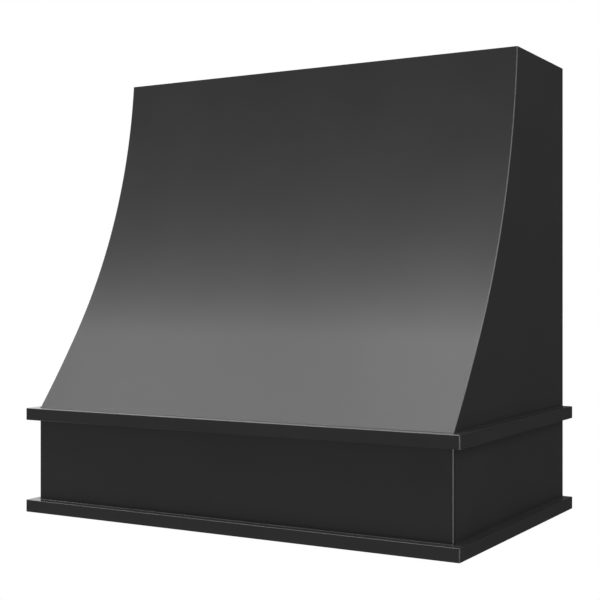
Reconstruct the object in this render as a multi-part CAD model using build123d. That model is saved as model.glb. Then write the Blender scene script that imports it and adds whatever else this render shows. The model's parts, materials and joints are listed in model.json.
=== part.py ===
from build123d import *
from math import atan2, cos, degrees, radians, sin, sqrt
import os

# Wall-hung wooden cover for a kitchen range hood.
# A bent front skin stands on a flat band. Square trim strips run round the band's upper and lower edges.
# X runs across the hood, the wall is the plane Y = 0 with the front towards -Y, and Z is up.
# The origin is the middle of the hood's lower back edge, on the wall.
# Sizes are in millimetres, angles in degrees.

# Outer form
body_width = 914.4
body_height = 914.4
base_depth = 578.0
top_depth = 270.0
band_height = 212.0
top_lean = 5.0
foot_length = 190.0
foot_radius = 2500.0
foot_setback = 0.5
edge_chamfer = 1.5

# Boards of the shell
panel_thickness = 18.0
skin_thickness = 8.0
band_thickness = 18.0

# Trim strips
trim_height = 24.5
trim_projection = 20.0

# Frame inside the shell
rail_thickness = 18.0
front_rail_height = 70.0
hanging_rail_height = 110.0
lower_rail_height = 100.0
nailer_height = 39.0
nailer_depth = 38.0
rib_thickness = 18.0
rib_width = 55.0
rib_spacing = 304.8
rib_top_gap = 20.0
ledge_thickness = 18.0
ledge_height = 38.0
ledge_lift = 14.0
block_width = 40.0
block_nose = 8.0
block_length = 100.0

# Hanging cleat, cut at 45 degrees
cleat_thickness = 18.0
hood_cleat_height = 55.0
wall_cleat_height = 70.0
cleat_top_gap = 10.0
cleat_end_gap = 40.0
cleat_gap = 0.5
cleat_fit = 0.2

# Holes for the installer's wall screws, on the pitch of wall studs
stud_pitch = 406.4
cleat_hole = 6.5
cleat_hole_head = 13.0
rail_hole = 5.0
rail_hole_head = 10.0

# Countersunk wood screws, drawn with flat sides
screw_sides = 8
screw_head = 8.0
screw_shank = 4.0
screw_land = 0.4
screw_tip = 5.0
ledge_screw_length = 30.0
cleat_screw_length = 32.0
frame_screw_length = 42.0
screw_slack = 0.1
screw_recess = 0.4

# Pocket screws, driven at a slant from a rail into its neighbour
pocket_angle = 15.0
pocket_sides = 12
pocket_bit = 9.5
pocket_run = 70.0
pocket_shoulder = 20.0
pocket_head = 9.0
pocket_head_height = 2.5
pocket_screw_length = 32.0

# Screw counts and the margins that keep the outer ones off the board ends
cleat_screw_count = 6
cleat_screw_margin = 50.0
side_ledge_screw_count = 4
side_ledge_screw_margin = 60.0
cross_ledge_screw_count = 3
cross_ledge_screw_margin = 80.0
hanging_pocket_count = 3
rail_pocket_count = 2
rail_pocket_margin = 13.0
hanging_pocket_margin = 20.0
band_pocket_count = 4
band_pocket_margin = 120.0
nailer_screw_count = 3
nailer_screw_margin = 90.0

# Places that several pieces share
half_width = body_width / 2
inner_half = half_width - panel_thickness
band_back = -(base_depth - band_thickness)
cleat_recess = cleat_thickness + cleat_gap
cleat_half_length = inner_half - cleat_end_gap
hood_cleat_top = body_height - cleat_top_gap
hood_cleat_tip = hood_cleat_top - hood_cleat_height
wall_cleat_heel = hood_cleat_tip - cleat_gap - cleat_fit * sqrt(2)
wall_cleat_bottom = wall_cleat_heel + cleat_thickness - wall_cleat_height
hanging_rail_bottom = body_height - hanging_rail_height
stretcher_bottom = band_height - rail_thickness
ledge_top = ledge_lift + ledge_height
ledge_inner_half = inner_half - ledge_thickness
rib_place = rib_spacing / 2
side_signs = (-1, 1)

# The front curve in side view, in (Y, Z): an arc from the top that runs into a flatter one above the band
lean = radians(top_lean)
top_point = Vector(-top_depth, body_height)
foot_point = Vector(-(base_depth - foot_setback), band_height)
curve_overrun = base_depth / 2


def down_front(angle):
    """Direction down the front where it leans that far from plumb."""
    return Vector(-sin(angle), -cos(angle))


def into_hood(angle):
    """Direction square to the front, towards the wall, where it leans that far from plumb."""
    return Vector(cos(angle), -sin(angle))


foot_turn = foot_length / foot_radius
foot_chord = 2 * foot_radius * sin(foot_turn / 2)
bend_chord_lean = atan2(
    top_point.X - foot_point.X - foot_chord * sin(foot_turn / 2 - lean),
    top_point.Y - foot_point.Y + foot_chord * cos(foot_turn / 2 - lean),
)
bend_lean = 2 * bend_chord_lean - lean
foot_lean = bend_lean + foot_turn
bend_chord = foot_point - top_point - down_front(bend_lean + foot_turn / 2) * foot_chord
bend_radius = bend_chord.length / (2 * sin((bend_lean - lean) / 2))
bend_centre = top_point - into_hood(lean) * bend_radius
foot_centre = foot_point - into_hood(foot_lean) * foot_radius
front_rail_lean = lean + front_rail_height / 2 / bend_radius


def on_bend(angle, set_in):
    """Point of the upper arc, in side view, moved set_in into the hood."""
    return bend_centre + into_hood(angle) * (bend_radius + set_in)


def on_foot(angle, set_in):
    """Point of the flatter arc above the band, in side view, moved set_in into the hood."""
    return foot_centre + into_hood(angle) * (foot_radius + set_in)


def front_at_band(set_in):
    """Y of the front at the band's top, moved set_in into the hood."""
    return foot_centre.X + sqrt((foot_radius + set_in) ** 2 - (foot_centre.Y - band_height) ** 2)


nailer_back = front_at_band(skin_thickness) + nailer_depth
stretcher_back = front_at_band(skin_thickness + rib_width)


def in_space(side_point, x):
    """A point of the side view at that X."""
    return Vector(x, side_point.X, side_point.Y)


def side_rectangle(y_low, y_high, z_low, z_high):
    """Rectangle in the side view."""
    middle = Pos((y_low + y_high) / 2, (z_low + z_high) / 2)
    return Plane.YZ * middle * Rectangle(y_high - y_low, z_high - z_low)


def side_face(points):
    """Straight-sided face in the side view."""
    return Plane.YZ * make_face(Polyline(*points, close=True))


def behind_front(set_in):
    """Side view of all that lies behind the front curve, moved set_in into the hood."""
    upper_lean = lean - curve_overrun / bend_radius
    above = on_bend(upper_lean, set_in)
    meeting = on_bend(bend_lean, set_in)
    below = on_foot(foot_lean + curve_overrun / foot_radius, set_in)
    outline = [
        TangentArc(above, meeting, tangent=down_front(upper_lean)),
        TangentArc(meeting, below, tangent=down_front(bend_lean)),
        Line(below, (0, below.Y)),
        Line((0, below.Y), (0, above.Y)),
        Line((0, above.Y), above),
    ]
    return Plane.YZ * make_face(outline) & side_rectangle(-base_depth, 0, band_height, body_height)


def across(region, x_low, x_high):
    """A side-view region as a solid between two values of X."""
    return Pos(x_low, 0, 0) * extrude(region, amount=x_high - x_low, dir=(1, 0, 0))


def board(x_low, x_high, y_low, y_high, z_low, z_high):
    """Squared board between three pairs of faces."""
    middle = Pos((x_low + x_high) / 2, (y_low + y_high) / 2, (z_low + z_high) / 2)
    return middle * Box(x_high - x_low, y_high - y_low, z_high - z_low)


def mirrored(shape):
    """The same piece on the other side of the hood."""
    return mirror(shape, about=Plane.YZ)


def spread(low, high, count, margin):
    """Even places from low to high, the outer ones a margin inside."""
    step = (high - low - 2 * margin) / (count - 1)
    return [low + margin + step * i for i in range(count)]


def turned(profile):
    """Solid of revolution about Z from (radius, height) points."""
    return revolve(Plane.XZ * make_face(Polyline(*profile, close=True)), Axis.Z)


def section(radius, height):
    """Flat-sided section of a screw, or its point where the radius is nothing."""
    if radius == 0:
        return Vertex(0, 0, height)
    return Pos(0, 0, height) * RegularPolygon(radius, screw_sides)


def faceted(profile):
    """Flat-sided solid about Z from (radius, height) points that run down to its point."""
    layers = [
        loft([section(*upper), section(*lower)], ruled=True)
        for upper, lower in zip(profile, profile[1:])
        if upper[1] > lower[1]
    ]
    return layers[0].fuse(*layers[1:])


def wood_screw(length, slack=0.0, rise=0.0):
    """Countersunk screw with the top of its head at the origin, driven along -Z.

    Slack all round, and a rise above the head, make it the screw's hole.
    """
    head = screw_head / 2 + slack
    shank = screw_shank / 2 + slack
    return faceted([
        (head, rise),
        (head, -screw_land),
        (shank, -(screw_land + head - shank)),
        (shank, -(length - screw_tip)),
        (0, -(length + slack)),
    ])


def sunk_screw_hole(length):
    """Hole for a countersunk screw whose head lies just under the face."""
    return wood_screw(length, screw_slack, screw_recess + screw_slack)


def pocket_screw():
    """Washer-head screw with the underside of its head at the origin, driven along -Z."""
    shank = screw_shank / 2
    return faceted([
        (pocket_head / 2, pocket_head_height),
        (pocket_head / 2, 0),
        (shank, 0),
        (shank, -(pocket_screw_length - screw_tip)),
        (0, -pocket_screw_length),
    ])


def pocket_hole():
    """Slanted pocket with its flat floor at the origin, and the pilot hole under it."""
    pocket = extrude(RegularPolygon(pocket_bit / 2, pocket_sides), amount=pocket_run)
    pilot = screw_shank / 2 + screw_slack
    return pocket + faceted([
        (pilot, screw_slack),
        (pilot, -(pocket_screw_length - screw_tip)),
        (0, -(pocket_screw_length + screw_slack)),
    ])


def countersunk_bore(bore, head, depth):
    """Through hole from the origin along -Z with a 90 degree countersink at its mouth."""
    return turned([
        (0, 0),
        (head / 2, 0),
        (bore / 2, -(head - bore) / 2),
        (bore / 2, -depth),
        (0, -depth),
    ])


def at_places(form, places):
    """The same form at each of those places."""
    return [place * form for place in places]


def pocket_place(exit_point, along, face_out):
    """Where a pocket's floor lies: its screw slants in from face_out and leaves the rail at exit_point."""
    tilt = radians(pocket_angle)
    driven = along * cos(tilt) - face_out * sin(tilt)
    return Plane(origin=exit_point - driven * pocket_shoulder, z_dir=-driven)


def sunk_place(face_point, face_out):
    """Where a countersunk screw's head lies, just under the face that it is driven into."""
    return Plane(origin=face_point - face_out * screw_recess, z_dir=face_out)


def end_pockets(side_points, face_out):
    """Pocket places at both ends of a rail between the side panels, at those points of the side view."""
    return [
        pocket_place(in_space(point, sign * inner_half), Vector(sign, 0, 0), face_out)
        for sign in side_signs
        for point in side_points
    ]


# Where the pocket screws go
rail_middle = -rail_thickness / 2
front_rail_out = in_space(into_hood(front_rail_lean), 0)
front_rail_middle = on_bend(front_rail_lean, skin_thickness + rail_thickness / 2)
front_rail_half = front_rail_height / 2
front_rail_pockets = end_pockets(
    [
        front_rail_middle + down_front(front_rail_lean) * offset
        for offset in spread(-front_rail_half, front_rail_half, rail_pocket_count, rail_pocket_margin)
    ],
    front_rail_out,
)
hanging_rail_pockets = end_pockets(
    [
        Vector(-cleat_recess + rail_middle, z)
        for z in spread(hanging_rail_bottom, body_height, hanging_pocket_count, hanging_pocket_margin)
    ],
    Vector(0, -1, 0),
)
lower_rail_pockets = end_pockets(
    [
        Vector(rail_middle, z)
        for z in spread(ledge_top, lower_rail_height, rail_pocket_count, rail_pocket_margin)
    ],
    Vector(0, -1, 0),
)
stretcher_end_pockets = end_pockets(
    [
        Vector(y, band_height + rail_middle)
        for y in spread(band_back, stretcher_back, rail_pocket_count, rail_pocket_margin)
    ],
    Vector(0, 0, -1),
)
stretcher_band_pockets = [
    pocket_place(Vector(x, band_back, band_height + rail_middle), Vector(0, -1, 0), Vector(0, 0, -1))
    for x in spread(-inner_half, inner_half, band_pocket_count, band_pocket_margin)
]
side_panel_pockets = front_rail_pockets + hanging_rail_pockets + lower_rail_pockets + stretcher_end_pockets

# Where the countersunk screws go
cleat_screw_z = hood_cleat_top - (hood_cleat_height - cleat_thickness) / 2
cleat_screw_places = [
    sunk_place(Vector(x, -cleat_gap, cleat_screw_z), Vector(0, 1, 0))
    for x in spread(-cleat_half_length, cleat_half_length, cleat_screw_count, cleat_screw_margin)
]
ledge_middle = ledge_lift + ledge_height / 2
side_ledge_places = [
    sunk_place(Vector(sign * ledge_inner_half, y, ledge_middle), Vector(-sign, 0, 0))
    for sign in side_signs
    for y in spread(band_back, -rail_thickness, side_ledge_screw_count, side_ledge_screw_margin)
]
cross_ledge_xs = spread(
    -ledge_inner_half, ledge_inner_half, cross_ledge_screw_count, cross_ledge_screw_margin
)
front_ledge_places = [
    sunk_place(Vector(x, band_back + ledge_thickness, ledge_middle), Vector(0, 1, 0))
    for x in cross_ledge_xs
]
back_ledge_places = [
    sunk_place(Vector(x, -rail_thickness - ledge_thickness, ledge_middle), Vector(0, -1, 0))
    for x in cross_ledge_xs
]
nailer_screw_y = (band_back + nailer_back) / 2
nailer_places = [
    sunk_place(Vector(x, nailer_screw_y, stretcher_bottom), Vector(0, 0, -1))
    for x in spread(-inner_half, inner_half, nailer_screw_count, nailer_screw_margin)
]
rib_foot_y = (nailer_back + stretcher_back) / 2
rib_foot_places = [
    sunk_place(Vector(sign * rib_place, rib_foot_y, stretcher_bottom), Vector(0, 0, -1))
    for sign in side_signs
]
rib_head_places = [
    sunk_place(in_space(on_bend(front_rail_lean, skin_thickness), sign * rib_place), -front_rail_out)
    for sign in side_signs
]
frame_screw_places = nailer_places + rib_foot_places + rib_head_places
ledge_screw_places = side_ledge_places + front_ledge_places + back_ledge_places

# Side-view regions that seat on each other along the front curve
inside_region = behind_front(skin_thickness)
front_rail_face = on_bend(front_rail_lean, skin_thickness + rail_thickness)
front_rail_reach = down_front(front_rail_lean) * body_height
behind_front_rail = side_face([
    front_rail_face - front_rail_reach,
    front_rail_face + front_rail_reach,
    front_rail_face + front_rail_reach + into_hood(front_rail_lean) * body_height,
    front_rail_face - front_rail_reach + into_hood(front_rail_lean) * body_height,
])
front_rail_region = (
    inside_region & side_rectangle(-base_depth, 0, body_height - front_rail_height, body_height)
) - behind_front_rail
nailer_region = inside_region & side_rectangle(
    -base_depth, nailer_back, band_height, band_height + nailer_height
)


def side_panel():
    """Right-hand side: hollow front edge above, upright edge below that sits in the band's rabbet."""
    lower = side_rectangle(-(base_depth - skin_thickness), 0, 0, band_height)
    panel = across(inside_region + lower, inner_half, half_width)
    pilots = at_places(pocket_hole(), side_panel_pockets)
    ledge_holes = at_places(sunk_screw_hole(ledge_screw_length), side_ledge_places)
    return panel - pilots - ledge_holes


def front_skin():
    """Bent front, lapped over the side panels' front edges, with its outer corners chamfered."""
    filled = across(behind_front(0), -half_width, half_width)
    outer_corners = filled.edges().filter_by(GeomType.CIRCLE)
    return chamfer(outer_corners, edge_chamfer) - across(inside_region, -half_width, half_width)


def front_band():
    """Flat board below the skin, rabbeted at its ends for the side panels, with its front corners chamfered."""
    plank = board(-half_width, half_width, -base_depth, band_back, 0, band_height)
    corners = plank.edges().filter_by(Axis.Z).group_by(Axis.Y)[0]
    plank = chamfer(corners, edge_chamfer)
    rabbet = board(inner_half, half_width, -(base_depth - skin_thickness), band_back, 0, band_height)
    pilots = at_places(pocket_hole(), stretcher_band_pockets)
    ledge_holes = at_places(sunk_screw_hole(ledge_screw_length), front_ledge_places)
    return plank - rabbet - mirrored(rabbet) - pilots - ledge_holes


def trim_strips(bottom):
    """Front, left and right strips at that height: one chamfered frame, cut through its mitres."""
    outer_x = half_width + trim_projection
    outer_y = -(base_depth + trim_projection)
    blank = board(-outer_x, outer_x, outer_y, 0, bottom, bottom + trim_height)
    frame = blank - board(-half_width, half_width, -base_depth, 0, bottom, bottom + trim_height)
    front_face = frame.faces().filter_by(Axis.Y).sort_by(Axis.Y)[0]
    side_faces = frame.faces().filter_by(Axis.X).group_by(Axis.X)
    side_edges = (side_faces[0] + side_faces[-1]).edges().filter_by(Axis.Y)
    frame = chamfer(front_face.edges() + side_edges, edge_chamfer)
    right_mitre = Plane(origin=(half_width, -base_depth, bottom), z_dir=(1, 1, 0))
    left_mitre = Plane(origin=(-half_width, -base_depth, bottom), z_dir=(-1, 1, 0))
    right = split(frame, bisect_by=right_mitre, keep=Keep.TOP)
    left = split(frame, bisect_by=left_mitre, keep=Keep.TOP)
    front_and_left = split(frame, bisect_by=right_mitre, keep=Keep.BOTTOM)
    front = split(front_and_left, bisect_by=left_mitre, keep=Keep.BOTTOM)
    return front, left, right


def top_front_rail():
    """Leaning rail between the side panels, hollowed to the skin's inner face."""
    rail = across(front_rail_region, -inner_half, inner_half)
    pockets = at_places(pocket_hole(), front_rail_pockets)
    screw_holes = at_places(sunk_screw_hole(frame_screw_length), rib_head_places)
    return rail - pockets - screw_holes


def hanging_rail():
    """Upper back rail, set in from the wall by the thickness of the cleat."""
    rail = board(-inner_half, inner_half, -(cleat_recess + rail_thickness), -cleat_recess,
                 hanging_rail_bottom, body_height)
    pockets = at_places(pocket_hole(), hanging_rail_pockets)
    screw_holes = at_places(sunk_screw_hole(cleat_screw_length), cleat_screw_places)
    return rail - pockets - screw_holes


def wall_holes(thickness, z, bore, head):
    """Countersunk holes through a board on the wall for two wall screws, one to a stud."""
    places = [
        Plane(origin=(sign * stud_pitch / 2, -thickness, z), z_dir=(0, -1, 0))
        for sign in side_signs
    ]
    return at_places(countersunk_bore(bore, head, thickness), places)


def lower_back_rail():
    """Lower back rail, flat on the wall."""
    rail = board(-inner_half, inner_half, -rail_thickness, 0, 0, lower_rail_height)
    pockets = at_places(pocket_hole(), lower_rail_pockets)
    screw_holes = at_places(sunk_screw_hole(ledge_screw_length), back_ledge_places)
    fixing_z = (ledge_top + lower_rail_height) / 2
    fixings = wall_holes(rail_thickness, fixing_z, rail_hole, rail_hole_head)
    return rail - pockets - screw_holes - fixings


def band_stretcher():
    """Flat rail behind the band's top edge, deep enough to carry the ribs' feet."""
    rail = board(-inner_half, inner_half, band_back, stretcher_back, stretcher_bottom, band_height)
    pockets = at_places(pocket_hole(), stretcher_end_pockets + stretcher_band_pockets)
    screw_holes = at_places(sunk_screw_hole(frame_screw_length), nailer_places + rib_foot_places)
    return rail - pockets - screw_holes


def skin_nailer():
    """Strip behind the skin's foot, bevelled to its slope."""
    screw_holes = at_places(sunk_screw_hole(frame_screw_length), nailer_places)
    return across(nailer_region, -inner_half, inner_half) - screw_holes


def curved_rib():
    """Right-hand former, notched behind the front rail and over the nailer."""
    crescent = inside_region - behind_front(skin_thickness + rib_width)
    crescent = crescent & side_rectangle(-base_depth, 0, band_height, body_height - rib_top_gap)
    crescent = crescent - front_rail_region - nailer_region
    rib = across(crescent, rib_place - rib_thickness / 2, rib_place + rib_thickness / 2)
    screw_holes = at_places(sunk_screw_hole(frame_screw_length), rib_head_places + rib_foot_places)
    return rib - screw_holes


def side_ledge():
    """Right-hand strip for the insert's flange, from the band to the lower back rail."""
    strip = board(ledge_inner_half, inner_half, band_back, -rail_thickness, ledge_lift, ledge_top)
    return strip - at_places(sunk_screw_hole(ledge_screw_length), side_ledge_places)


def cross_ledge(y_low, places):
    """Strip for the insert's flange between the side ledges."""
    y_high = y_low + ledge_thickness
    strip = board(-ledge_inner_half, ledge_inner_half, y_low, y_high, ledge_lift, ledge_top)
    return strip - at_places(sunk_screw_hole(ledge_screw_length), places)


def corner_block():
    """Right-hand glue block in the corner of the band and the side panel, standing on the ledges."""
    corner = Vector(inner_half, band_back)
    section = make_face(Polyline(
        corner,
        corner + Vector(-block_width, 0),
        corner + Vector(-block_width, block_nose),
        corner + Vector(-block_nose, block_width),
        corner + Vector(0, block_width),
        close=True,
    ))
    return Pos(0, 0, ledge_top) * extrude(section, amount=block_length, dir=(0, 0, 1))


def hood_cleat():
    """Hood's half of the hanging cleat, its bevelled tongue pointing down beside the wall."""
    section = side_face([
        (-cleat_gap, hood_cleat_top),
        (-cleat_recess, hood_cleat_top),
        (-cleat_recess, hood_cleat_tip + cleat_thickness),
        (-cleat_gap, hood_cleat_tip),
    ])
    screw_holes = at_places(sunk_screw_hole(cleat_screw_length), cleat_screw_places)
    return across(section, -cleat_half_length, cleat_half_length) - screw_holes


def wall_cleat():
    """Wall's half of the hanging cleat, its bevelled lip pointing up in front of the hood's tongue."""
    section = side_face([
        (0, wall_cleat_bottom),
        (-cleat_thickness, wall_cleat_bottom),
        (-cleat_thickness, wall_cleat_heel + cleat_thickness),
        (0, wall_cleat_heel),
    ])
    fixing_z = (wall_cleat_bottom + wall_cleat_heel) / 2
    fixings = wall_holes(cleat_thickness, fixing_z, cleat_hole, cleat_hole_head)
    return across(section, -cleat_half_length, cleat_half_length) - fixings


def group(screw, places):
    """Like screws at all those places, kept as separate solids."""
    return Compound(children=at_places(screw, places))


def pieces():
    """Every piece of the hood by name."""
    upper_front, upper_left, upper_right = trim_strips(band_height - trim_height)
    lower_front, lower_left, lower_right = trim_strips(0)
    made = {
        "front_skin": front_skin(),
        "front_band": front_band(),
        "upper_trim_front": upper_front,
        "upper_trim_left": upper_left,
        "upper_trim_right": upper_right,
        "lower_trim_front": lower_front,
        "lower_trim_left": lower_left,
        "lower_trim_right": lower_right,
        "top_front_rail": top_front_rail(),
        "hanging_rail": hanging_rail(),
        "lower_back_rail": lower_back_rail(),
        "band_stretcher": band_stretcher(),
        "skin_nailer": skin_nailer(),
        "liner_ledge_front": cross_ledge(band_back, front_ledge_places),
        "liner_ledge_back": cross_ledge(-rail_thickness - ledge_thickness, back_ledge_places),
        "hood_cleat": hood_cleat(),
        "wall_cleat": wall_cleat(),
        "pocket_screws": group(pocket_screw(), side_panel_pockets + stretcher_band_pockets),
        "frame_screws": group(wood_screw(frame_screw_length), frame_screw_places),
        "ledge_screws": group(wood_screw(ledge_screw_length), ledge_screw_places),
        "cleat_screws": group(wood_screw(cleat_screw_length), cleat_screw_places),
    }
    handed = {
        "side_panel": side_panel(),
        "curved_rib": curved_rib(),
        "liner_ledge": side_ledge(),
        "corner_block": corner_block(),
    }
    for name, right in handed.items():
        made[name + "_right"] = right
        made[name + "_left"] = mirrored(right)
    return made


print(f"front curve: {bend_radius:.1f} mm radius from {top_lean:.2f} to {degrees(bend_lean):.2f} degrees")
print(f"foot: {foot_radius:.1f} mm radius to {degrees(foot_lean):.2f} degrees from plumb")
os.makedirs("parts", exist_ok=True)
for node, shape in pieces().items():
    export_step(shape, f"parts/{node}.step")
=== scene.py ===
import json
import math

import bmesh
import bpy
import numpy as np
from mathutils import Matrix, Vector


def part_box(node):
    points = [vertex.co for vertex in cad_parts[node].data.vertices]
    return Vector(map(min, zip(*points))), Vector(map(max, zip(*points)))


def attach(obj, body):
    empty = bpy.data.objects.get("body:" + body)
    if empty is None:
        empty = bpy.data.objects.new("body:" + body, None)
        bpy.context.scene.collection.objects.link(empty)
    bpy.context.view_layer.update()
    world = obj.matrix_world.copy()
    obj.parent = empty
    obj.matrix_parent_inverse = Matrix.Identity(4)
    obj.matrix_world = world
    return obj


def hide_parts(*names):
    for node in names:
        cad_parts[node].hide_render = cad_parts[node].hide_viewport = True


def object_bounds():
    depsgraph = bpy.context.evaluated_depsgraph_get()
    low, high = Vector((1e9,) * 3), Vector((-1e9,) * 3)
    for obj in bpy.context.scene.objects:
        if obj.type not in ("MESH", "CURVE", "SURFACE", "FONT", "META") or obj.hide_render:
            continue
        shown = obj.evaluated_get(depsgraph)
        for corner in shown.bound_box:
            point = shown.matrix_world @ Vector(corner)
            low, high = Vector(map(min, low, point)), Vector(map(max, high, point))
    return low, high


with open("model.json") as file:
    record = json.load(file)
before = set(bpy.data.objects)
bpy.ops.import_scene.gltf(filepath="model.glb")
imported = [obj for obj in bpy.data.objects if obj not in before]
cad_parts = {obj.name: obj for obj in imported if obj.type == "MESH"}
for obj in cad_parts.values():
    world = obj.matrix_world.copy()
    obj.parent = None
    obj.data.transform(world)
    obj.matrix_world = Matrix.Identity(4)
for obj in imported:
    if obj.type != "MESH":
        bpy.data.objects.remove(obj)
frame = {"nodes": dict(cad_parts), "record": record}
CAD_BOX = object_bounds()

# Black painted wooden cover for a wall-hung range hood, bare wood inside.
# Lengths are in metres in the frame of the CAD model: the wall is Y = 0 and the front looks towards -Y.
# Colours are linear red, green and blue. A pair of colours or numbers is a range that a pattern runs through.

# Front curve, as the sheet that is bent over the ribs
HALF_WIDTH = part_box("front_skin")[1][0]
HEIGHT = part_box("front_skin")[1][2]
BAND_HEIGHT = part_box("front_skin")[0][2]
TOP_DEPTH = 0.270
FOOT_DEPTH = -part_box("front_skin")[0][1]
TOP_LEAN = math.radians(5.0)
FOOT_LENGTH = 0.190
FOOT_RADIUS = 2.500
SKIN_THICKNESS = 0.008
EDGE_CHAMFER = 0.0015
SKIN_ROWS = 140
SKIN_COLUMNS = 12

# Trim strips, with a bead of filler where their ledges meet the hood
BAND_DEPTH = -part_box("front_band")[0][1]
TRIM_REACH = -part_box("lower_trim_front")[0][1] - BAND_DEPTH
UPPER_TRIM_EASE = 0.0010
LOWER_TRIM_EASE = 0.0005
BEAD = 0.0010
BEAD_ROOT = 0.0003
BEAD_STEPS = 8

# Eased corners of the boards, and the shortest edge that is eased on each kind of board
PAINTED_EASE = 0.0008
WOOD_EASE = 0.0006
EASE_SEGMENTS = 2
PANEL_EDGE = 0.05
BAND_EDGE = 0.10
RAIL_EDGE = 0.06
PLY_EDGE = 0.045
STRIP_EDGE = 0.03

# Reading the CAD meshes
SAME_POINT = 1e-5
SAME_SCREW_POINT = 1e-6
NEAR_FACE = 1e-4
FLAT_ANGLE = math.radians(0.2)
SHARP_ANGLE = math.radians(40)
SMOOTH_ANGLE = math.radians(35)
FACING = 0.5
SQUARE_ON = 0.8
WALL_END = 0.9
UNDERSIDE = 0.01

# Screws: a head is a list of depths and radii, a drive has half the width of its square
SCREW_SEGMENTS = 24
SCREW_SHANK = 0.0018
COUNTERSUNK_HEAD = [(0.0, 0.0035), (0.0002, 0.0037), (0.0004, 0.0037), (0.0024, 0.0018)]
WASHER_HEAD = [
    (0.0, 0.0022), (0.0003, 0.0026), (0.0012, 0.0029), (0.0016, 0.0034),
    (0.0019, 0.0041), (0.0025, 0.0041), (0.00252, 0.0018),
]
WIDEST_PART = 0.95
DRIVE_DEPTH = 0.0020
DRIVE_FLOOR = 0.00118
DRIVE_MOUTH = 0.00138
THREAD_PITCH = 0.0022
THREAD_DEPTH = 0.0005
THREAD_RINGS = 4
SMOOTH_SHARE = 0.25
POINT_LENGTH = 0.004
POINT_RADIUS = 0.0002

# Black paint, and the pale film on its ledges: partly dust, partly painted light falling on them from above
PAINT = (0.0172, 0.0172, 0.0177)
PAINT_PALE = tuple(1.12 * tone for tone in PAINT)
PAINT_SATIN = (0.325, 0.338)
PAINT_LEVELLED = 0.21
PAINT_ON_WOOD = 0.15
PAINT_NIBS = (0.80, 0.86)
PAINT_PEEL = 0.00004
LOOKS_UP = (0.95, 1.0)
DUST_AND_TOP_LIGHT_TONE = (0.31, 0.30, 0.28)
DUST_AND_TOP_LIGHT_SHARE = (0.05, 0.095)

# Birch veneer and the cut edges of birch plywood
BIRCH_LIGHT = (0.69, 0.52, 0.32)
BIRCH_DARK = (0.48, 0.31, 0.155)
BIRCH_STREAK = (0.36, 0.21, 0.10)
BIRCH_PORE = (0.30, 0.18, 0.09)
BIRCH_ROUGHNESS = (0.50, 0.66)
BIRCH_RELIEF = 0.00006
FACE_MIST = (0.022, 0.006)
BOARD_VENEER = 0.00138
SHEET_VENEER = 0.0016
PLY_LONG_GRAIN = ((0.60, 0.43, 0.25), (0.48, 0.32, 0.17))
PLY_END_GRAIN = ((0.40, 0.25, 0.13), (0.27, 0.16, 0.08))
PLY_GLUE = (0.13, 0.075, 0.04)
PLY_GAP = (0.05, 0.03, 0.02)
PLY_WAVER = 0.0006
PLY_ROUGHNESS = (0.58, 0.74)
PLY_RELIEF = 0.00010
EDGE_MIST = (0.002, -0.001)
EDGE_MIST_REACH = 0.006

# Poplar: the place of the pith, across and through the board, shifts from board to board by these lengths
POPLAR_LIGHT = (0.65, 0.53, 0.33)
POPLAR_DARK = (0.43, 0.31, 0.155)
POPLAR_HEART = (0.33, 0.31, 0.16)
POPLAR_ROUGHNESS = (0.48, 0.64)
POPLAR_RELIEF = 0.00005
GROWTH_RING = 0.0046
RING_SWAY = 0.05
PITH_ACROSS = 0.12
PITH_THROUGH = 0.31

# Grain of all wood: fibres run through this range, and boards are cut this far apart from one log
FIBRE_RANGE = (0.2, 0.8)
BOARDS_APART = 7.0

# Zinc plate
ZINC_TONES = ((0.62, 0.60, 0.55), (0.42, 0.42, 0.43))
ZINC_ROUGHNESS = (0.26, 0.48)
ZINC_RELIEF = 0.00003

# Camera of the photograph
CAMERA_PLACE = (1.26039, -2.46499, 0.44494)
CAMERA_AZIMUTH = math.radians(30.244)
CAMERA_LEVEL = math.radians(90)
CAMERA_LENS = 72.967
CAMERA_SHIFT_Y = -0.00997

# Studio
FLOOR_DROP = 0.70
FLOOR_FULL = 0.9
FLOOR_END = 1.7
FLOOR_SEGMENTS = 96
FLOOR_TONES = ((0.80, 0.80, 0.80), (0.77, 0.77, 0.765))
STUDIO_GREY = 0.34
BACKDROP_FULL = math.radians(21)
BACKDROP_END = math.radians(45)
FLAG_PLACE = (0.739, 1.177, 0.30)
FLAG_TARGET = (0.249, -0.173, 0.30)
FLAG_SIZE = (2.15, 2.4)
FLAG_TONES = ((0.058, 0.058, 0.058), (0.100, 0.100, 0.100))
MATT = {"Roughness": 0.9, "Specular_IOR_Level": 0.1}

# Lamps: place, the point that the lamp looks at, width and height, watts
LAMPS = {
    "key_far": ((-4.20, -0.95, 5.10), (-4.20, -0.45, 0.40), (3.0, 1.3), 75.6),
    "key_left": ((-2.30, -1.09, 2.635), (-2.30, -0.45, 0.50), (2.6, 0.64), 25.6),
    "key_right": ((-0.35, -1.09, 2.635), (-0.35, -0.45, 0.50), (1.3, 0.64), 25.6),
    "fill_overhead": ((-0.20, -0.25, 2.90), (-0.20, -0.25, 0.50), (3.0, 1.1), 14),
    "corner_right": ((2.40, -1.71, -0.12), (0.457, -0.578, 0.08), (0.6, 0.6), 10.3),
    "edge_right": ((2.10, -0.52, 1.80), (0.457, -0.45, 0.40), (0.7, 1.1), 17.5),
    "fill_back": ((-1.3, 2.4, 1.3), (0.0, -0.1, 0.45), (2.8, 2.8), 17),
}


# Node materials

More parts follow.
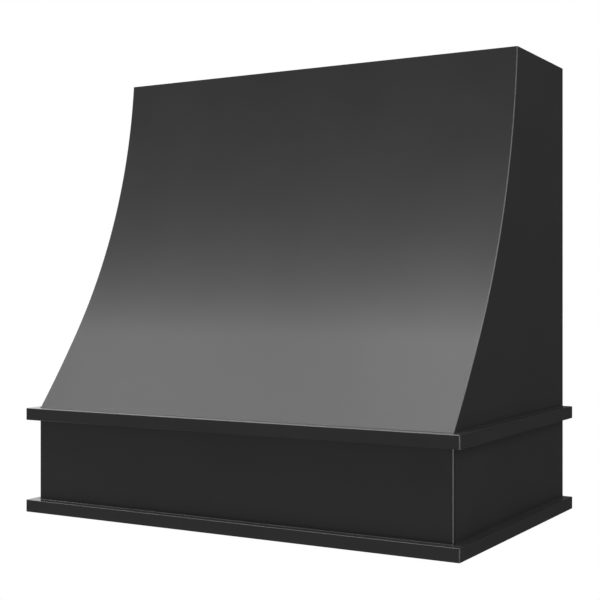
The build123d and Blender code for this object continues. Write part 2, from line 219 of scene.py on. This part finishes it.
class Shader:
    """A node material being put together around one Principled BSDF."""

    def __init__(self, name, **settings):
        self.material = bpy.data.materials.new(name)
        self.material.use_nodes = True
        self.tree = self.material.node_tree
        self.surface = self.tree.nodes["Principled BSDF"]
        self.set(self.surface, {key.replace("_", " "): value for key, value in settings.items()})

    def set(self, node, inputs):
        for key, value in inputs.items():
            if isinstance(value, bpy.types.NodeSocket):
                self.tree.links.new(value, node.inputs[key])
            else:
                node.inputs[key].default_value = value

    def add(self, kind, inputs, **settings):
        node = self.tree.nodes.new("ShaderNode" + kind)
        for key, value in settings.items():
            setattr(node, key, value)
        self.set(node, inputs)
        return node

    def object_place(self):
        return self.add("TexCoord", {}).outputs["Object"]

    def split(self, vector):
        return self.add("SeparateXYZ", {"Vector": vector}).outputs

    def looks_up(self):
        """1 on faces that lie flat and look up."""
        normal = self.add("TexCoord", {}).outputs["Normal"]
        return self.remap(self.split(normal)[2], *LOOKS_UP)

    def random(self):
        """A number from 0 to 1 that each board has for itself."""
        return self.add("ObjectInfo", {}).outputs["Random"]

    def attribute(self, name):
        return self.add("Attribute", {}, attribute_name=name).outputs["Fac"]

    def math(self, operation, a, b=0.0):
        return self.add("Math", {0: a, 1: b}, operation=operation).outputs[0]

    def plus(self, a, b):
        return self.math("ADD", a, b)

    def minus(self, a, b):
        return self.math("SUBTRACT", a, b)

    def times(self, a, b):
        return self.math("MULTIPLY", a, b)

    def noise(self, place, scale, detail, roughness=0.5, distortion=0.0):
        inputs = {"Vector": place, "Scale": scale, "Detail": detail}
        inputs.update({"Roughness": roughness, "Distortion": distortion})
        return self.add("TexNoise", inputs).outputs["Fac"]

    def grain_place(self, axis, along):
        """Object place with the grain first, squeezed along the grain and set apart for each board."""
        parts = self.split(self.object_place())
        order = {"X": (0, 1, 2), "Y": (1, 0, 2), "Z": (2, 0, 1)}[axis]
        shift = self.times(self.random(), BOARDS_APART)
        run = self.times(self.plus(parts[order[0]], shift), along)
        return self.add("CombineXYZ", {0: run, 1: parts[order[1]], 2: parts[order[2]]}).outputs[0]

    def grain_noise(self, axis, along, scale, detail):
        return self.noise(self.grain_place(axis, along), scale, detail)

    def remap(self, value, low, high, to_low=0.0, to_high=1.0):
        inputs = {"Value": value, "From Min": low, "From Max": high, "To Min": to_low, "To Max": to_high}
        return self.add("MapRange", inputs, interpolation_type="SMOOTHSTEP").outputs["Result"]

    def blend(self, share, a, b):
        node = self.add("Mix", {0: share}, data_type="RGBA")
        for index, colour in ((6, a), (7, b)):
            if isinstance(colour, bpy.types.NodeSocket):
                self.tree.links.new(colour, node.inputs[index])
            else:
                node.inputs[index].default_value = (*colour, 1.0)
        return node.outputs[2]

    def bump(self, height, distance):
        node = self.add("Bump", {"Height": height, "Distance": distance, "Strength": 1.0})
        self.set(self.surface, {"Normal": node.outputs["Normal"]})

    def colour(self, socket):
        self.set(self.surface, {"Base Color": socket})

    def roughness(self, socket):
        self.set(self.surface, {"Roughness": socket})


def black_paint(name, dusty_and_top_lit=False):
    """Sprayed satin black: fine orange peel, a few dust nibs, glossier where it has levelled out flat.
    Optionally, faces that look up are paled by a film that is partly dust and partly painted light from
    above.
    """
    shader = Shader(name, Specular_IOR_Level=0.5)
    place = shader.object_place()
    drift = shader.noise(place, scale=9.0, detail=3.0)
    peel = shader.noise(place, scale=650.0, detail=1.0)
    nibs = shader.remap(shader.noise(place, scale=240.0, detail=0.0), *PAINT_NIBS)
    flat = shader.looks_up()
    tone = shader.blend(shader.remap(drift, 0.3, 0.7), PAINT, PAINT_PALE)
    # Faces that look up get a paler film: partly dust, partly painted light from above on the ledges
    if dusty_and_top_lit:
        dust_and_top_light = shader.remap(shader.noise(place, scale=130.0, detail=4.0), 0.3, 0.7, *DUST_AND_TOP_LIGHT_SHARE)
        tone = shader.blend(shader.times(flat, dust_and_top_light), tone, DUST_AND_TOP_LIGHT_TONE)
    shader.colour(tone)
    gloss = shader.plus(drift, shader.times(peel, 0.3))
    satin = shader.remap(gloss, 0.3, 0.95, *PAINT_SATIN)
    shader.roughness(shader.minus(satin, shader.times(flat, PAINT_LEVELLED)))
    shader.bump(shader.plus(peel, nibs), PAINT_PEEL)
    return shader.material


def bare_wood(shader, wood, rough, painted=None):
    """Colour and roughness of bare wood, and of what the sprayed paint has run or misted over."""
    if painted is not None:
        wood = shader.blend(painted, wood, PAINT)
        rough = shader.minus(rough, shader.times(painted, PAINT_ON_WOOD))
    shader.colour(wood)
    shader.roughness(rough)


def birch_face(name, axis, overspray=False):
    """Sanded birch veneer, rotary cut: broad drifting figure, short pores and a few darker streaks."""
    shader = Shader(name, Specular_IOR_Level=0.35)
    place = shader.grain_place(axis, along=0.12)
    sway = shader.noise(place, scale=7.0, detail=2.0)
    swirl = shader.noise(place, scale=26.0, detail=3.0, roughness=0.6, distortion=1.2)
    rings = shader.times(shader.plus(swirl, shader.times(sway, 0.5)), 5.0)
    figure = shader.remap(shader.math("PINGPONG", rings, 1.0), 0.0, 1.0)
    fibre = shader.grain_noise(axis, along=0.03, scale=1100.0, detail=2.0)
    pores = shader.remap(shader.grain_noise(axis, along=0.06, scale=1700.0, detail=1.0), 0.66, 0.74)
    streak = shader.remap(shader.grain_noise(axis, along=0.025, scale=38.0, detail=2.0), 0.62, 0.78)
    grain = shader.plus(shader.times(figure, 0.40), shader.times(fibre, 0.45))
    tone = shader.plus(grain, shader.times(shader.random(), 0.30))
    wood = shader.blend(tone, BIRCH_LIGHT, BIRCH_DARK)
    wood = shader.blend(shader.times(streak, 0.60), wood, BIRCH_STREAK)
    wood = shader.blend(shader.times(pores, 0.35), wood, BIRCH_PORE)
    painted = None
    if overspray:
        height = shader.split(shader.object_place())[2]
        mist = shader.noise(shader.object_place(), scale=900.0, detail=3.0)
        painted = shader.remap(shader.minus(height, shader.times(mist, FACE_MIST[0])), *FACE_MIST)
    bare_wood(shader, wood, shader.remap(fibre, *FIBRE_RANGE, *BIRCH_ROUGHNESS), painted)
    shader.bump(shader.minus(fibre, pores), BIRCH_RELIEF)
    return shader.material


def birch_edge(name, veneer, painted_side=False):
    """Cut edge of birch plywood: end grain and long grain in turn, with dark glue lines between."""
    shader = Shader(name, Specular_IOR_Level=0.3)
    place = shader.object_place()
    waver = shader.minus(shader.noise(place, scale=60.0, detail=3.0), 0.5)
    depth = shader.plus(shader.attribute("depth"), shader.times(waver, PLY_WAVER))
    plies = shader.math("DIVIDE", depth, veneer)
    turn = shader.remap(shader.math("PINGPONG", plies, 1.0), 0.42, 0.58)
    from_glue = shader.minus(shader.math("FRACT", shader.plus(plies, 0.5)), 0.5)
    glue = shader.remap(shader.math("ABSOLUTE", from_glue), 0.10, 0.03)
    fibre = shader.noise(place, scale=1400.0, detail=3.0)
    long_grain = shader.blend(fibre, *PLY_LONG_GRAIN)
    end_grain = shader.blend(fibre, *PLY_END_GRAIN)
    wood = shader.blend(turn, long_grain, end_grain)
    wood = shader.blend(shader.times(glue, 0.55), wood, PLY_GLUE)
    gaps = shader.remap(shader.noise(place, scale=60.0, detail=1.0), 0.74, 0.78)
    wood = shader.blend(shader.times(gaps, shader.times(turn, 0.8)), wood, PLY_GAP)
    painted = None
    if painted_side:
        mist = shader.times(shader.noise(place, scale=700.0, detail=4.0), EDGE_MIST_REACH)
        painted = shader.remap(shader.minus(shader.attribute("depth"), mist), *EDGE_MIST)
    bare_wood(shader, wood, shader.remap(fibre, *FIBRE_RANGE, *PLY_ROUGHNESS), painted)
    shader.bump(shader.minus(fibre, shader.times(glue, 0.6)), PLY_RELIEF)
    return shader.material


def poplar(name, axis):
    """Planed poplar cut from a log: growth rings about a far pith, so that faces and ends agree."""
    shader = Shader(name, Specular_IOR_Level=0.35)
    place = shader.grain_place(axis, along=0.05)
    own = shader.random()
    parts = shader.split(place)
    sway = shader.times(shader.minus(shader.noise(place, scale=9.0, detail=3.0), 0.5), RING_SWAY)
    across = shader.plus(shader.plus(parts[1], sway), shader.times(own, PITH_ACROSS))
    through = shader.plus(shader.plus(parts[2], sway), shader.times(own, PITH_THROUGH))
    square = shader.plus(shader.times(across, across), shader.times(through, through))
    years = shader.math("DIVIDE", shader.math("SQRT", square), GROWTH_RING)
    ring = shader.remap(shader.math("FRACT", years), 0.25, 1.0)
    fibre = shader.grain_noise(axis, along=0.03, scale=1300.0, detail=2.0)
    heart = shader.remap(shader.grain_noise(axis, along=0.10, scale=14.0, detail=2.0), 0.56, 0.74)
    grain = shader.plus(shader.times(ring, 0.50), shader.times(fibre, 0.40))
    tone = shader.plus(grain, shader.times(own, 0.25))
    wood = shader.blend(tone, POPLAR_LIGHT, POPLAR_DARK)
    wood = shader.blend(shader.times(heart, 0.65), wood, POPLAR_HEART)
    bare_wood(shader, wood, shader.remap(fibre, *FIBRE_RANGE, *POPLAR_ROUGHNESS))
    shader.bump(shader.plus(fibre, shader.times(ring, 0.4)), POPLAR_RELIEF)
    return shader.material


def zinc():
    """Bright zinc plate with cloudy passivation and fine scuffs from the driver bit."""
    shader = Shader("zinc_screw", Metallic=1.0)
    place = shader.object_place()
    cloud = shader.noise(place, scale=420.0, detail=3.0)
    scuff = shader.noise(place, scale=2600.0, detail=2.0)
    shader.colour(shader.blend(cloud, *ZINC_TONES))
    shader.roughness(shader.remap(scuff, 0.25, 0.75, *ZINC_ROUGHNESS))
    shader.bump(scuff, ZINC_RELIEF)
    return shader.material


# Pieces

def keep_piece(name, bm, materials, node):
    """Turns finished mesh code into a piece that stands for a CAD node and rides on its body."""
    mesh = bpy.data.meshes.new(name)
    bmesh.ops.recalc_face_normals(bm, faces=bm.faces)
    bm.to_mesh(mesh)
    bm.free()
    for material in materials:
        mesh.materials.append(material)
    mesh.shade_smooth()
    mesh.set_sharp_from_angle(angle=SMOOTH_ANGLE)
    piece = bpy.data.objects.new(name, mesh)
    bpy.context.scene.collection.objects.link(piece)
    normals = piece.modifiers.new("flat_faces", "WEIGHTED_NORMAL")
    normals.keep_sharp = True
    body = next(b for b, nodes in frame["record"]["behaviour"]["bodies"].items() if node in nodes)
    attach(piece, body)
    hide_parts(node)


def node_mesh(node):
    """The CAD node's surface with its flat faces whole again."""
    bm = bmesh.new()
    bm.from_mesh(frame["nodes"][node].data)
    bmesh.ops.remove_doubles(bm, verts=bm.verts, dist=SAME_POINT)
    bmesh.ops.dissolve_limit(bm, angle_limit=FLAT_ANGLE, verts=bm.verts, edges=bm.edges)
    return bm


def ease(bm, width, shortest, chosen=lambda middle: True):
    """Takes the sharp corner off the long edges of a board."""
    sharp = [
        e for e in bm.edges
        if e.is_manifold and e.calc_length() > shortest and e.calc_face_angle() > SHARP_ANGLE
        and chosen((e.verts[0].co + e.verts[1].co) / 2)
    ]
    bmesh.ops.bevel(
        bm, geom=sharp, offset=width, offset_type="OFFSET",
        segments=EASE_SEGMENTS, profile=0.5, affect="EDGES",
    )


def set_depth(bm, depth):
    """Stores how far each point lies below the first face of a plywood board."""
    layer = bm.verts.layers.float.new("depth")
    for vert in bm.verts:
        vert[layer] = depth(vert.co)


def set_materials(bm, choose):
    for face in bm.faces:
        face.material_index = choose(face.calc_center_median(), face.normal)


def solid_board(node, axis, shortest=RAIL_EDGE):
    """A planed board of poplar, with the direction of its grain."""
    bm = node_mesh(node)
    ease(bm, WOOD_EASE, shortest)
    keep_piece(node + "_board", bm, [POPLAR[axis]], node)


def ply_board(node, grain, axis):
    """A raw plywood board, with the direction of its face grain and the axis of its thickness."""
    bm = node_mesh(node)
    ease(bm, WOOD_EASE, PLY_EDGE)
    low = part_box(node)[0][axis]
    set_depth(bm, lambda place: place[axis] - low)
    set_materials(bm, lambda middle, normal: 0 if abs(normal[axis]) > SQUARE_ON else 1)
    keep_piece(node + "_board", bm, [BIRCH[grain], BIRCH_EDGE], node)


def side_panel(node, side):
    """Painted outside and underneath, bare inside and along its top and back edges."""
    bm = node_mesh(node)
    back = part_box(node)[1][1]
    outside = HALF_WIDTH * side
    ease(bm, PAINTED_EASE, PANEL_EDGE, lambda p: p.y > back - NEAR_FACE or p.z < NEAR_FACE)
    set_depth(bm, lambda place: abs(outside - place.x))

    def choose(middle, normal):
        if normal.x * side > FACING or normal.z < -FACING and middle.z < UNDERSIDE:
            return 0
        return 1 if normal.x * side < -FACING else 2

    set_materials(bm, choose)
    materials = [BLACK, BIRCH["Z_MIST"], BIRCH_EDGE_PAINTED]
    keep_piece(node + "_board", bm, materials, node)


def front_band():
    """Painted on all faces but its back, where the frame inside is screwed on."""
    bm = node_mesh("front_band")
    ease(bm, PAINTED_EASE, BAND_EDGE, lambda p: p.z < NEAR_FACE)
    set_materials(bm, lambda middle, normal: 1 if normal.y > FACING else 0)
    keep_piece("front_band_board", bm, [BLACK, BIRCH["X_MIST"]], "front_band")


def into_hood(lean):
    """Direction in (Y, Z) square to the front, towards the wall, where it leans that far from plumb."""
    return Vector((math.cos(lean), -math.sin(lean)))


def front_arcs():
    """Centre and radius of the front's upper arc and of the flatter one at its foot, and the lean between."""
    top, foot = Vector((-TOP_DEPTH, HEIGHT)), Vector((-FOOT_DEPTH, BAND_HEIGHT))
    half_turn = FOOT_LENGTH / FOOT_RADIUS / 2
    foot_chord = 2 * FOOT_RADIUS * math.sin(half_turn)
    across, drop = top - foot
    bend_chord_lean = math.atan2(
        across - foot_chord * math.sin(half_turn - TOP_LEAN),
        drop + foot_chord * math.cos(half_turn - TOP_LEAN),
    )
    bend_lean = 2 * bend_chord_lean - TOP_LEAN
    chord_lean = bend_lean + half_turn
    bend_chord = foot - top + Vector((math.sin(chord_lean), math.cos(chord_lean))) * foot_chord
    bend_radius = bend_chord.length / (2 * math.sin((bend_lean - TOP_LEAN) / 2))
    bend_centre = top - into_hood(TOP_LEAN) * bend_radius
    foot_centre = foot - into_hood(bend_lean + 2 * half_turn) * FOOT_RADIUS
    return (bend_centre, bend_radius), (foot_centre, FOOT_RADIUS), bend_lean


def foot_lean():
    """How far the front leans from plumb at its foot."""
    return front_arcs()[2] + FOOT_LENGTH / FOOT_RADIUS


def front_line(height, inset):
    """Y of the front at a height, for a face that lies that far in from the painted one."""
    bend, foot, bend_lean = front_arcs()
    meeting = bend[0] + into_hood(bend_lean) * (bend[1] + inset)
    centre, radius = bend if height > meeting.y else foot
    return centre.x + math.sqrt((radius + inset) ** 2 - (centre.y - height) ** 2)


def loft(bm, rings):
    """Adds a closed solid through rings of points that match one to one."""
    rings = [[bm.verts.new(point) for point in ring] for ring in rings]
    for near, far in zip(rings, rings[1:]):
        for i in range(len(near)):
            k = (i + 1) % len(near)
            bm.faces.new((near[i], near[k], far[k], far[i]))
    bm.faces.new(rings[0])
    bm.faces.new(rings[-1])


def trim_plan(side, inset):
    """Corners of a strip seen from above, its outer faces set in that far, its mitred corners cut off."""
    reach = TRIM_REACH - inset
    mitre = TRIM_REACH - EDGE_CHAMFER / 2 - inset / math.sqrt(2)
    corner = TRIM_REACH - EDGE_CHAMFER - inset * (math.sqrt(2) - 1)
    if side == 0:
        plan = [(0.0, 0.0), (mitre, mitre), (corner, reach)]
        half = [(HALF_WIDTH + x, -BAND_DEPTH - y) for x, y in plan]
        return half + [(-x, y) for x, y in reversed(half)]
    plan = [(0.0, -BAND_DEPTH), (reach, -BAND_DEPTH), (reach, corner), (mitre, mitre), (0.0, 0.0)]
    return [(side * (HALF_WIDTH + x), -BAND_DEPTH - y) for x, y in plan]


def bead_section(lean):
    """Points (out, up) of a hollow bead between a ledge and a face that leans back from plumb."""
    radius = BEAD * math.tan((math.pi / 2 + lean) / 2)
    points = [(-BEAD_ROOT, -BEAD_ROOT)]
    for i in range(BEAD_STEPS + 1):
        tilt = lean + (math.pi / 2 - lean) * i / BEAD_STEPS
        points.append((BEAD - radius * math.cos(tilt), radius * (1 - math.sin(tilt))))
    return points


def bead_ends(side, ledge, foot, lean):
    """Both end sections of a bead along a ledge, cut to meet the next bead at the front corners."""
    slope = math.tan(lean)
    if side == 0:
        section = bead_section(lean)
        ends = [(HALF_WIDTH + out + up * slope, -foot - out, ledge + up) for out, up in section]
        return ends, [(-x, y, z) for x, y, z in ends]
    section = bead_section(0.0)
    at_wall = [(side * (HALF_WIDTH + out), 0.0, ledge + up) for out, up in section]
    at_front = [(x, up * slope - foot - out, z) for (x, _, z), (out, up) in zip(at_wall, section)]
    return at_wall, at_front


def trim_strip(node, side, foot, lean, eased):
    """A painted strip whose ends stay bare where they meet the wall, filled along its ledge."""
    low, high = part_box(node)[0][2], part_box(node)[1][2]
    levels = [(low, eased), (low + eased, 0.0), (high - eased, 0.0), (high, eased)]
    bm = bmesh.new()
    loft(bm, [[(x, y, height) for x, y in trim_plan(side, inset)] for height, inset in levels])
    bmesh.ops.recalc_face_normals(bm, faces=bm.faces)
    set_materials(bm, lambda middle, normal: 1 if normal.y > WALL_END and middle.y > -NEAR_FACE else 0)
    loft(bm, bead_ends(side, high, foot, lean))
    # The strip's ledges take the paint whose upward faces carry dust and painted light from above
    keep_piece(node + "_strip", bm, [BLACK_DUSTY_TOP_LIT, POPLAR["Y"]], node)


def skin_section():
    """Points (across, depth) round the bent sheet, and how many of them belong to its painted face."""
    flat = HALF_WIDTH - EDGE_CHAMFER
    steps = range(SKIN_COLUMNS + 1)
    outer = [(flat * (2 * i / SKIN_COLUMNS - 1), 0.0) for i in steps]
    outer = [(-HALF_WIDTH, EDGE_CHAMFER), *outer, (HALF_WIDTH, EDGE_CHAMFER)]
    inner = [(HALF_WIDTH - 2 * HALF_WIDTH * i / SKIN_COLUMNS, SKIN_THICKNESS) for i in steps]
    return outer + inner, len(outer)


def front_skin():
    """The bent sheet: painted outside with chamfered side edges, bare veneer inside, plies at its ends."""
    section, painted = skin_section()
    bm = bmesh.new()
    depth = bm.verts.layers.float.new("depth")
    rows = []
    for i in range(SKIN_ROWS + 1):
        height = BAND_HEIGHT + (HEIGHT - BAND_HEIGHT) * i / SKIN_ROWS
        row = []
        for x, inset in section:
            vert = bm.verts.new((x, front_line(height, inset), height))
            vert[depth] = inset
            row.append(vert)
        rows.append(row)
    count = len(section)
    for low, high in zip(rows, rows[1:]):
        for j in range(count):
            k = (j + 1) % count
            face = bm.faces.new((low[j], low[k], high[k], high[j]))
            face.material_index = 1 if painted <= j < count - 1 else 0
    for cap in (rows[0], rows[-1]):
        bm.faces.new(cap).material_index = 2
    materials = [BLACK, BIRCH["X"], BIRCH_EDGE_THIN]
    keep_piece("front_skin_sheet", bm, materials, "front_skin")


# Screws

def screw_places(node):
    """Head, direction and length of each screw in a CAD group, from its separate solids."""
    bm = bmesh.new()
    bm.from_mesh(frame["nodes"][node].data)
    bmesh.ops.remove_doubles(bm, verts=bm.verts, dist=SAME_SCREW_POINT)
    seen = set()
    for start in bm.verts:
        if start in seen:
            continue
        solid, front = {start}, [start]
        while front:
            vert = front.pop()
            near = {e.other_vert(vert) for e in vert.link_edges} - solid
            solid |= near
            front += near
        seen |= solid
        points = np.array(sorted(tuple(v.co) for v in solid))
        middle = points.mean(axis=0)
        axis = np.linalg.svd(points - middle)[2][0]
        along = (points - middle) @ axis
        wide = np.linalg.norm(points - middle - np.outer(along, axis), axis=1)
        if along[wide > WIDEST_PART * wide.max()].mean() > 0:
            axis, along = -axis, -along
        yield Vector(middle + axis * along.min()), Vector(axis), along.max() - along.min()
    bm.free()


def square_reach(turn, half):
    return half / max(abs(math.cos(turn)), abs(math.sin(turn)))


def screw_rows(length, head, shank):
    """Rings of a screw from the floor of its square drive to its point: depth, and radius by the turn."""
    rows = [
        (DRIVE_DEPTH, lambda turn: square_reach(turn, DRIVE_FLOOR)),
        (0.0, lambda turn: square_reach(turn, DRIVE_MOUTH)),
    ]
    rows += [(depth, lambda turn, r=radius: r) for depth, radius in head]
    neck = head[-1][0]
    thread_start, point_start = neck + SMOOTH_SHARE * (length - neck), length - POINT_LENGTH
    steps = math.ceil((point_start - thread_start) / (THREAD_PITCH / THREAD_RINGS))
    for i in range(steps + 1):
        depth = thread_start + (point_start - thread_start) * i / steps

        def thread(turn, d=depth):
            wave = math.cos(2 * math.pi * d / THREAD_PITCH - turn)
            return shank - THREAD_DEPTH * (1 - max(0.0, wave) ** 2)

        rows.append((depth, thread))
    rows.append((length, lambda turn: POINT_RADIUS))
    return rows


def screw_group(node, head, shank):
    """All screws of a CAD group as one piece, each along its solid."""
    turns = [2 * math.pi * i / SCREW_SEGMENTS for i in range(SCREW_SEGMENTS)]
    bm = bmesh.new()
    for place, direction, length in screw_places(node):
        turn_to = direction.to_track_quat("Z", "Y").to_matrix()
        rings = []
        for depth, reach in screw_rows(length, head, shank):
            ring = []
            for turn in turns:
                spot = Vector((reach(turn) * math.cos(turn), reach(turn) * math.sin(turn), depth))
                ring.append(place + turn_to @ spot)
            rings.append(ring)
        loft(bm, rings)
    keep_piece(node + "_zinc", bm, [ZINC], node)


# Materials and pieces of the hood

BLACK = black_paint("black_paint")
# Paint for the trims: its upward ledges are paled partly by dust, partly by painted light from above
BLACK_DUSTY_TOP_LIT = black_paint("black_paint_dusty_top_lit", dusty_and_top_lit=True)
BIRCH = {
    "X": birch_face("birch_face_across", "X"),
    "Z": birch_face("birch_face_upright", "Z"),
    "X_MIST": birch_face("birch_face_across_misted", "X", overspray=True),
    "Z_MIST": birch_face("birch_face_upright_misted", "Z", overspray=True),
}
BIRCH_EDGE = birch_edge("birch_edge", BOARD_VENEER)
BIRCH_EDGE_PAINTED = birch_edge("birch_edge_overpainted", BOARD_VENEER, painted_side=True)
BIRCH_EDGE_THIN = birch_edge("birch_edge_bent_sheet", SHEET_VENEER, painted_side=True)
POPLAR = {axis: poplar("poplar_grain_" + axis.lower(), axis) for axis in "XYZ"}
ZINC = zinc()

side_panel("side_panel_left", -1)
side_panel("side_panel_right", 1)
front_skin()
front_band()
for run, side in (("front", 0), ("left", -1), ("right", 1)):
    trim_strip("upper_trim_" + run, side, FOOT_DEPTH, foot_lean(), UPPER_TRIM_EASE)
    trim_strip("lower_trim_" + run, side, BAND_DEPTH, 0.0, LOWER_TRIM_EASE)
for node in ("curved_rib_left", "curved_rib_right"):
    ply_board(node, "Z", 0)
ply_board("band_stretcher", "X", 2)
for node in ("hood_cleat", "wall_cleat"):
    ply_board(node, "X", 1)
for node in ("top_front_rail", "hanging_rail", "lower_back_rail", "skin_nailer"):
    solid_board(node, "X")
for node in ("liner_ledge_front", "liner_ledge_back"):
    solid_board(node, "X", STRIP_EDGE)
for node in ("liner_ledge_left", "liner_ledge_right"):
    solid_board(node, "Y", STRIP_EDGE)
for node in ("corner_block_left", "corner_block_right"):
    solid_board(node, "Z", STRIP_EDGE)
screw_group("pocket_screws", WASHER_HEAD, SCREW_SHANK)
for node in ("frame_screws", "ledge_screws", "cleat_screws"):
    screw_group(node, COUNTERSUNK_HEAD, SCREW_SHANK)


# Studio

def aim(obj, target):
    obj.rotation_euler = (Vector(target) - obj.location).to_track_quat("-Z", "Y").to_euler()


def softbox(name, place, target, size, watts):
    """A soft rectangular lamp that the camera doesn't see."""
    light = bpy.data.lights.new(name, "AREA")
    light.shape = "RECTANGLE"
    light.size, light.size_y = size
    light.energy = watts
    lamp = bpy.data.objects.new(name, light)
    bpy.context.scene.collection.objects.link(lamp)
    lamp.location = place
    aim(lamp, target)
    lamp.visible_camera = False


def floor():
    """A round pale floor under the hood that runs out softly into the backdrop."""
    bm = bmesh.new()
    bmesh.ops.create_circle(bm, cap_ends=True, segments=FLOOR_SEGMENTS, radius=FLOOR_END)
    mesh = bpy.data.meshes.new("floor")
    bm.to_mesh(mesh)
    bm.free()
    shader = Shader("pale_floor", **MATT)
    reach = shader.add("VectorMath", {0: shader.object_place()}, operation="LENGTH").outputs["Value"]
    speck = shader.noise(shader.object_place(), scale=40.0, detail=3.0)
    shader.colour(shader.blend(speck, *FLOOR_TONES))
    shader.set(shader.surface, {"Alpha": shader.remap(reach, FLOOR_FULL, FLOOR_END, 1.0, 0.0)})
    mesh.materials.append(shader.material)
    obj = bpy.data.objects.new("floor", mesh)
    bpy.context.scene.collection.objects.link(obj)
    low, high = CAD_BOX
    obj.location = ((low[0] + high[0]) / 2, (low[1] + high[1]) / 2, -FLOOR_DROP)


def flag(place, target, size):
    """A dark card that stands out of the picture, for the hood's side to mirror."""
    mesh = bpy.data.meshes.new("flag")
    bm = bmesh.new()
    bmesh.ops.create_grid(bm, x_segments=1, y_segments=1, size=0.5)
    bmesh.ops.scale(bm, vec=(*size, 1.0), verts=bm.verts)
    bm.to_mesh(mesh)
    bm.free()
    shader = Shader("flag_cloth", **MATT)
    weave = shader.noise(shader.object_place(), scale=300.0, detail=2.0)
    shader.colour(shader.blend(weave, *FLAG_TONES))
    mesh.materials.append(shader.material)
    card = bpy.data.objects.new("flag", mesh)
    bpy.context.scene.collection.objects.link(card)
    card.location = place
    aim(card, target)
    card.visible_camera = False
    card.visible_diffuse = False
    card.visible_shadow = False
    card.visible_transmission = False


def studio_world(view):
    """A grey studio all round, with a white lit backdrop behind the hood."""
    world = bpy.data.worlds.new("studio")
    bpy.context.scene.world = world
    world.use_nodes = True
    tree = world.node_tree
    direction = tree.nodes.new("ShaderNodeTexCoord")
    facing = tree.nodes.new("ShaderNodeVectorMath")
    facing.operation = "DOT_PRODUCT"
    facing.inputs[1].default_value = view
    edge = tree.nodes.new("ShaderNodeMapRange")
    edge.interpolation_type = "SMOOTHSTEP"
    edge.inputs["From Min"].default_value = math.cos(BACKDROP_END)
    edge.inputs["From Max"].default_value = math.cos(BACKDROP_FULL)
    edge.inputs["To Min"].default_value = STUDIO_GREY
    tree.links.new(direction.outputs["Generated"], facing.inputs[0])
    tree.links.new(facing.outputs["Value"], edge.inputs["Value"])
    tree.links.new(edge.outputs["Result"], tree.nodes["Background"].inputs["Color"])


studio_world((-math.sin(CAMERA_AZIMUTH), math.cos(CAMERA_AZIMUTH), 0.0))
floor()
flag(FLAG_PLACE, FLAG_TARGET, FLAG_SIZE)
for name, lamp in LAMPS.items():
    softbox(name, *lamp)

camera = bpy.data.cameras.new("camera")
camera.lens = CAMERA_LENS
camera.shift_y = CAMERA_SHIFT_Y
shooter = bpy.data.objects.new("camera", camera)
bpy.context.scene.collection.objects.link(shooter)
shooter.location = CAMERA_PLACE
shooter.rotation_euler = (CAMERA_LEVEL, 0.0, CAMERA_AZIMUTH)
bpy.context.scene.camera = shooter
bpy.context.scene.view_settings.view_transform = "Standard"
